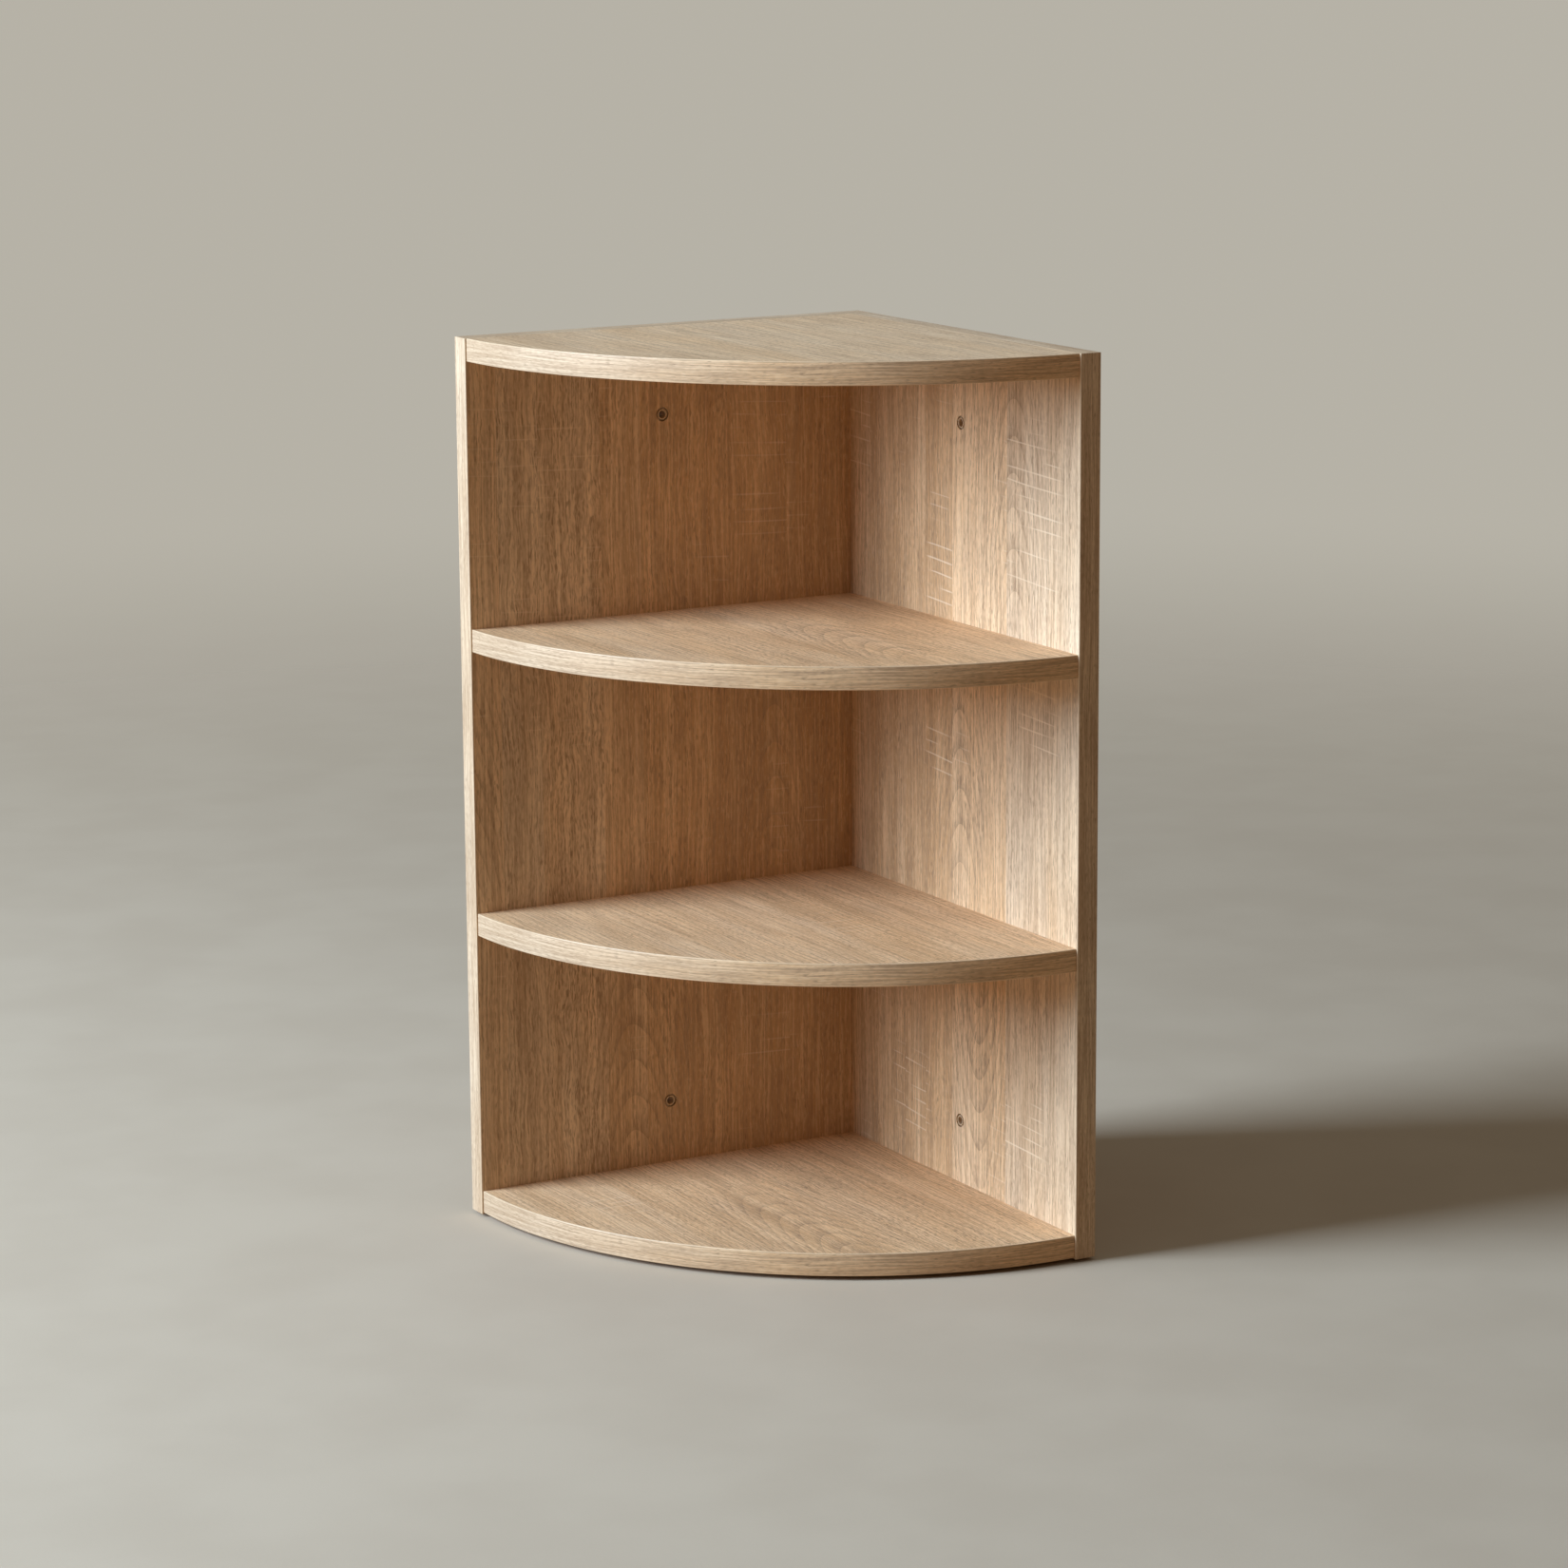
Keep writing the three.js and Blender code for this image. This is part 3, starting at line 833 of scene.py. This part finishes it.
SHELVES = {
    # The top board's tones and warmths are partly the print's own and partly a painted sheen: paler and
    # cooler than the shelves'.
    "top_board": shelf_layout(
        (0, 0.78, 0.65, 0.10), (105, 0.94, 0.70, 0.10), (160, 1.00, 0.60, 0.10), (214, 0.98, 0.65, 0.15),
        (262, 1.00, 0.60, 0.10), saws=((300, 200, 28, 40, 0.4),)),
    "upper_shelf": shelf_layout(
        (0, 0.94, 0.85, 0.25), (70, 0.88, 0.90, 0.20), (128, 0.92, 0.85, 0.55), (214, 0.82, 0.95, 0.35),
        (300, 0.78, 0.90, 0.20), rings=((236, 60, 60, 260, 260),), saws=((130, 140, 18, 26, 0.7),)),
    "lower_shelf": shelf_layout(
        (0, 0.88, 0.80, 0.15), (105, 0.82, 0.90, 0.30), (160, 0.86, 0.80, 0.20), (216, 0.80, 0.95, 0.40),
        (270, 0.86, 0.80, 0.25), saws=((232, 190, 26, 60, 0.6), (98, 60, 16, 40, 0.4))),
    "bottom_board": shelf_layout(
        (0, 0.86, 0.90, 0.15), (48, 0.86, 0.85, 0.10), (96, 0.80, 0.95, 0.35), (182, 0.82, 0.90, 0.30),
        (226, 0.76, 0.95, 0.70), (290, 0.78, 0.90, 0.30), rings=((180, 60, 70, 300, 300),),
        saws=((76, 80, 26, 46, 0.7),)),
}


BAND_PAINTED_FILL_SPAN = (60.0, 320.0)  # where along a curved band the strip is painted paler and warmer: painted warm fill light on its end that turns away from the key into shade
BAND_TONE = 0.62
BAND_PAINTED_FILL_TONE = 0.42
BAND_TONE_SWING = 0.4
BAND_TONE_CELL = (40.0, 160.0, 10.0)
BAND_WARMTH = 0.22
BAND_PAINTED_FILL_WARMTH = 0.66
BAND_FIBRE_CELL = (0.6, 40.0, 10.0)
BAND_FIBRE_LEVELS = (0.48, 0.62)
BAND_FIBRE_SHARE = 0.45
BAND_ARRIS_PLACE = (8.0, 8.6)  # how far from the strip's middle the painted highlight on the rounded arris starts to show
BAND_ARRIS_HIGHLIGHT_SHARE = 0.40
BAND_ARRIS_ROUGHNESS = 0.38
BAND_GRAIN_DEPTH = 0.05


def band_material():
    """Edge band: fine oak along the strip, with a painted highlight on its smoother arrises, and a curved
    band painted paler and warmer toward its shaded end as painted warm fill light.
    """
    tree, finish = new_material("oak_edge_band")
    point = tree.node("ShaderNodeAttribute", attribute_name="grain").outputs["Vector"]
    place = tree.split(point)
    # painted warm fill light: a curved band turns paler and warmer toward its end that faces away from the
    # key, into shade
    far = tree.between(place["Y"], *BAND_PAINTED_FILL_SPAN)
    tone = tree.add(BAND_TONE, tree.times(far, BAND_PAINTED_FILL_TONE),
                    tree.swing(tree.noise(point, BAND_TONE_CELL), BAND_TONE_SWING))
    warmth = tree.add(BAND_WARMTH, tree.times(far, BAND_PAINTED_FILL_WARMTH))
    color, roughness, height = oak(tree, point, Tone=tone, Warmth=warmth)
    fibre = tree.between(tree.noise(point, BAND_FIBRE_CELL, detail=2.0), *BAND_FIBRE_LEVELS)
    color = tree.mix(tree.times(fibre, BAND_FIBRE_SHARE), color, OAK_LINE)
    # painted highlight: the rounded arrises are painted paler, and they are also made smoother
    arris = tree.between(tree.math("ABSOLUTE", place["X"]), *BAND_ARRIS_PLACE)
    color = tree.mix(tree.times(arris, BAND_ARRIS_HIGHLIGHT_SHARE), color, OAK_RIDGE_HIGHLIGHT)
    roughness = tree.blend(arris, roughness, BAND_ARRIS_ROUGHNESS)
    return finish(tree.surface(color, roughness, tree.bump(height, BAND_GRAIN_DEPTH), IOR=OAK_IOR))


# The fittings' materials. The last number of a cell is its size along the piece. A swing is how much a
# noise changes the roughness.

ZINC_PALE = (0.74, 0.75, 0.76)
ZINC_WARM = (0.62, 0.61, 0.57)
ZINC_CLOUD_CELL = (1.6, 1.6, 5.0)
ZINC_CLOUD_LEVELS = (0.35, 0.65)
ZINC_SCRATCH_CELL = (0.15, 0.15, 2.5)
ZINC_SCRATCH_DEPTH = 0.01
ZINC_ROUGHNESS = 0.28
ZINC_CLOUD_SWING = 0.2
ZINC_SCRATCH_SWING = 0.25


def zinc_material():
    """Zinc-plated steel: cloudy plating with fine scratches along the piece."""
    tree, finish = new_material("zinc_plated_steel")
    place = tree.object_mm()
    cloud = tree.noise(place, ZINC_CLOUD_CELL, detail=3.0)
    scratch = tree.noise(place, ZINC_SCRATCH_CELL, detail=2.0)
    color = tree.mix(tree.between(cloud, *ZINC_CLOUD_LEVELS), ZINC_WARM, ZINC_PALE)
    roughness = tree.add(ZINC_ROUGHNESS, tree.swing(cloud, ZINC_CLOUD_SWING),
                         tree.swing(scratch, ZINC_SCRATCH_SWING))
    return finish(tree.surface(color, roughness, tree.bump(scratch, ZINC_SCRATCH_DEPTH), Metallic=1.0))


BEECH_PALE = (0.76, 0.58, 0.40)
BEECH_DEEP = (0.60, 0.42, 0.27)
BEECH_FLECK = (0.42, 0.26, 0.16)
BEECH_GRAIN_CELL = (0.8, 0.8, 18.0)
BEECH_FLECK_CELL = (0.25, 0.25, 1.8)
BEECH_FLECK_LEVELS = (0.62, 0.72)
BEECH_FLECK_SHARE = 0.7
BEECH_RELIEF = (0.6, -0.4)  # the grain's and the flecks' parts of the height
BEECH_DEPTH = 0.05
BEECH_ROUGHNESS = 0.62
BEECH_GRAIN_SWING = 0.2


def beech_material():
    """Beech: long grain with short dark flecks."""
    tree, finish = new_material("beech")
    place = tree.object_mm()
    grain = tree.noise(place, BEECH_GRAIN_CELL, detail=2.0)
    fleck = tree.noise(place, BEECH_FLECK_CELL)
    color = tree.mix(tree.between(grain, *EVEN_LEVELS), BEECH_DEEP, BEECH_PALE)
    color = tree.mix(tree.between(fleck, *BEECH_FLECK_LEVELS, 0.0, BEECH_FLECK_SHARE), color, BEECH_FLECK)
    height = tree.add(tree.times(grain, BEECH_RELIEF[0]), tree.times(fleck, BEECH_RELIEF[1]))
    roughness = tree.add(BEECH_ROUGHNESS, tree.swing(grain, BEECH_GRAIN_SWING))
    return finish(tree.surface(color, roughness, tree.bump(height, BEECH_DEPTH)))


PLASTIC_CLOUD_CELL = (5.0, 5.0, 5.0)
PLASTIC_SKIN_CELL = (0.22, 0.22, 0.22)
PLASTIC_SKIN_DEPTH = 0.02
PLASTIC_SKIN_SWING = 0.25
PLASTIC_CLOUD_SWING = 0.1


def plastic_material(name, pale, deep, roughness):
    """Moulded plastic: a slightly clouded colour and the fine spark-eroded skin of its mould."""
    tree, finish = new_material(name)
    place = tree.object_mm()
    cloud = tree.noise(place, PLASTIC_CLOUD_CELL, detail=2.0)
    skin = tree.noise(place, PLASTIC_SKIN_CELL, detail=2.0)
    color = tree.mix(tree.between(cloud, *EVEN_LEVELS), deep, pale)
    varied = tree.add(roughness, tree.swing(skin, PLASTIC_SKIN_SWING), tree.swing(cloud, PLASTIC_CLOUD_SWING))
    return finish(tree.surface(color, varied, tree.bump(skin, PLASTIC_SKIN_DEPTH)))


# Dressing the nodes

BAND = band_material()
ZINC = zinc_material()
BEECH = beech_material()
TAN = plastic_material("tan_plastic", (0.62, 0.445, 0.285), (0.54, 0.38, 0.235), 0.5)
BROWN = plastic_material("brown_plastic", (0.16, 0.115, 0.08), (0.11, 0.078, 0.055), 0.45)

for node, layout in {"left_side_panel": LEFT_PANEL, "right_side_panel": RIGHT_PANEL, **SHELVES}.items():
    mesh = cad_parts[node].data
    mesh.materials.clear()
    mesh.materials.append(board_material(node + "_oak", **layout))

STRAIGHT_BANDS = (
    ("left_panel_front_edging", Z, Y, -OVER),
    ("left_panel_back_edging", Z, Y, OVER),
    ("left_panel_top_edging", X, Y, UP),
    ("right_panel_front_edging", Z, X, -AWAY),
    ("right_panel_top_edging", Y, X, UP),
)
for node, along_axis, across_axis, outward in STRAIGHT_BANDS:
    add_piece(node + "_band", straight_band(node, along_axis, across_axis, outward), node, "oak_edging", BAND)
for board in BOARDS:
    node = board + "_edging"
    add_piece(node + "_band", curved_band(node, board), node, "oak_edging", BAND)

SMALL_PIECES = (
    ("_screw", screw_mesh, "zinc_screw", ZINC),
    ("_dowel", dowel_mesh, "beech_dowel", BEECH),
    ("_sleeve", sleeve_mesh, "sleeve_plastic", TAN),
    ("_glide", glide_mesh, "glide_plastic", BROWN),
)
for word, build, slot, material in SMALL_PIECES:
    nodes = sorted(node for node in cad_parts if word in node)
    shared = build(nodes[0])
    for node in nodes:
        add_piece(node + "_piece", shared, node, slot, material, on_node(node))


# Floor, light and camera

FLOOR_RADIUS = 9.0  # metres
FLOOR_SEGMENTS = 96
FLOOR_FADE = (0.8, 4.0)  # metres from the unit between which the floor turns into the backdrop
FLOOR_PALE = (0.60, 0.50, 0.39)
FLOOR_DEEP = (0.57, 0.471, 0.365)
FLOOR_CLOUD_CELL = (140.0, 140.0, 140.0)
FLOOR_GRIT_CELL = (3.0, 3.0, 3.0)
FLOOR_GRIT_SWING = 0.12
FLOOR_GRIT_DEPTH = 0.05
FLOOR_ROUGHNESS = 0.85
FLOOR_ROUGHNESS_SWING = 0.1
FLOOR_SPECULAR = 0.1
FLOOR_BOUNCE = (0.35, 0.24, 0.143)  # the colour of the light that it throws back
BACKDROP = (0.47, 0.445, 0.385)
WORLD_ZENITH = (0.19, 0.211, 0.195)
WORLD_HORIZON = (0.165, 0.090, 0.042)
WORLD_RISE = (0.3, 0.9)  # the horizon's colour turns into the zenith's between these, the Z of a view's way


def seen_share(tree):
    """1 for rays that show the surroundings, seen directly, in a reflection or through glass."""
    path = tree.node("ShaderNodeLightPath").outputs
    seen = tree.math("MAXIMUM", path["Is Camera Ray"], path["Is Glossy Ray"])
    return tree.math("MAXIMUM", seen, path["Is Transmission Ray"])


def floor_material():
    """A pale, faintly cloudy floor that fades out far from the unit."""
    tree, finish = new_material("pale_floor")
    place = tree.object_mm()
    cloud = tree.noise(place, FLOOR_CLOUD_CELL, detail=3.0)
    grit = tree.noise(place, FLOOR_GRIT_CELL, detail=2.0)
    shade = tree.add(cloud, tree.swing(grit, FLOOR_GRIT_SWING))
    color = tree.mix(tree.between(shade, *EVEN_LEVELS), FLOOR_DEEP, FLOOR_PALE)
    color = tree.mix(seen_share(tree), FLOOR_BOUNCE, color)
    roughness = tree.add(FLOOR_ROUGHNESS, tree.swing(cloud, FLOOR_ROUGHNESS_SWING))
    normal = tree.bump(grit, FLOOR_GRIT_DEPTH)
    solid = tree.surface(color, roughness, normal, Specular_IOR_Level=FLOOR_SPECULAR)
    away = tree.node("ShaderNodeVectorMath", {0: place}, operation="LENGTH").outputs["Value"]
    fade = tree.between(away, FLOOR_FADE[0] / MM, FLOOR_FADE[1] / MM)
    mixed = tree.node("ShaderNodeMixShader", {0: fade, 1: solid})
    tree.put(mixed.inputs[2], tree.node("ShaderNodeBsdfTransparent").outputs["BSDF"])
    return finish(mixed.outputs["Shader"])


def add_floor():
    mesh = bpy.data.meshes.new("floor")
    work = bmesh.new()
    bmesh.ops.create_circle(work, cap_ends=True, radius=FLOOR_RADIUS, segments=FLOOR_SEGMENTS)
    work.to_mesh(mesh)
    work.free()
    mesh.materials.append(floor_material())
    floor = bpy.data.objects.new("floor", mesh)
    bpy.context.scene.collection.objects.link(floor)
    floor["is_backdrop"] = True


def set_world():
    """Warm light from around and neutral light from above. The camera sees the plain backdrop."""
    world = bpy.data.worlds.new("studio")
    world.use_nodes = True
    world.node_tree.nodes.clear()
    tree = Tree(world.node_tree)
    way = tree.node("ShaderNodeTexCoord").outputs["Generated"]
    light = tree.mix(tree.between(tree.split(way)["Z"], *WORLD_RISE), WORLD_HORIZON, WORLD_ZENITH)
    color = tree.mix(seen_share(tree), light, BACKDROP)
    background = tree.node("ShaderNodeBackground", {"Color": color, "Strength": 1.0})
    output = tree.node("ShaderNodeOutputWorld")
    tree.put(output.inputs["Surface"], background.outputs["Background"])
    bpy.context.scene.world = world


KEY_TARGET = (0.0, 0.0, 0.35)  # metres
KEY_DISTANCE = 4.2  # metres
KEY_ELEVATION = math.radians(24.5)
KEY_TURN = math.radians(14.0)  # from -X towards +Y
KEY_WIDTH = 1.7  # metres
KEY_HEIGHT = 2.95  # metres
KEY_POWER = 283.0  # watts
KEY_COLOR = (0.85, 1.062, 1.29)


def add_key_light():
    light = bpy.data.lights.new("key", "AREA")
    light.shape = "RECTANGLE"
    light.size = KEY_WIDTH
    light.size_y = KEY_HEIGHT
    light.energy = KEY_POWER
    light.color = KEY_COLOR
    key = bpy.data.objects.new("key", light)
    level = math.cos(KEY_ELEVATION)
    way = Vector((-level * math.cos(KEY_TURN), level * math.sin(KEY_TURN), math.sin(KEY_ELEVATION)))
    key.location = Vector(KEY_TARGET) + way * KEY_DISTANCE
    key.rotation_euler = (-way).to_track_quat("-Z", "Y").to_euler()
    key.visible_camera = False
    bpy.context.scene.collection.objects.link(key)


CAMERA_EYE = (-1.7352, -3.1188, 1.0959)  # metres
CAMERA_FORWARD = (0.4779, 0.8550, -0.2013)
CAMERA_ROLL = math.radians(0.39)
CAMERA_LENS = 108.41
CAMERA_SENSOR = 36.0
CAMERA_REACH = 100.0  # metres


def add_camera():
    """The camera of the photograph, found by fitting it to the unit's edges."""
    data = bpy.data.cameras.new("camera")
    data.lens = CAMERA_LENS
    data.sensor_width = CAMERA_SENSOR
    data.clip_end = CAMERA_REACH
    camera = bpy.data.objects.new("camera", data)
    forward = Vector(CAMERA_FORWARD).normalized()
    level = forward.cross(UP).normalized()
    down = forward.cross(level)
    right = level * math.cos(CAMERA_ROLL) + down * math.sin(CAMERA_ROLL)
    up = level * math.sin(CAMERA_ROLL) - down * math.cos(CAMERA_ROLL)
    turn = Matrix((right, up, -forward)).transposed().to_4x4()
    camera.matrix_world = Matrix.Translation(CAMERA_EYE) @ turn
    bpy.context.scene.collection.objects.link(camera)
    bpy.context.scene.camera = camera


add_floor()
set_world()
add_key_light()
add_camera()
bpy.context.scene.view_settings.view_transform = "Standard"

boxes = {"cad": CAD_BOX, "visual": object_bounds()}
{key: [list(corner) for corner in box] for key, box in boxes.items()}
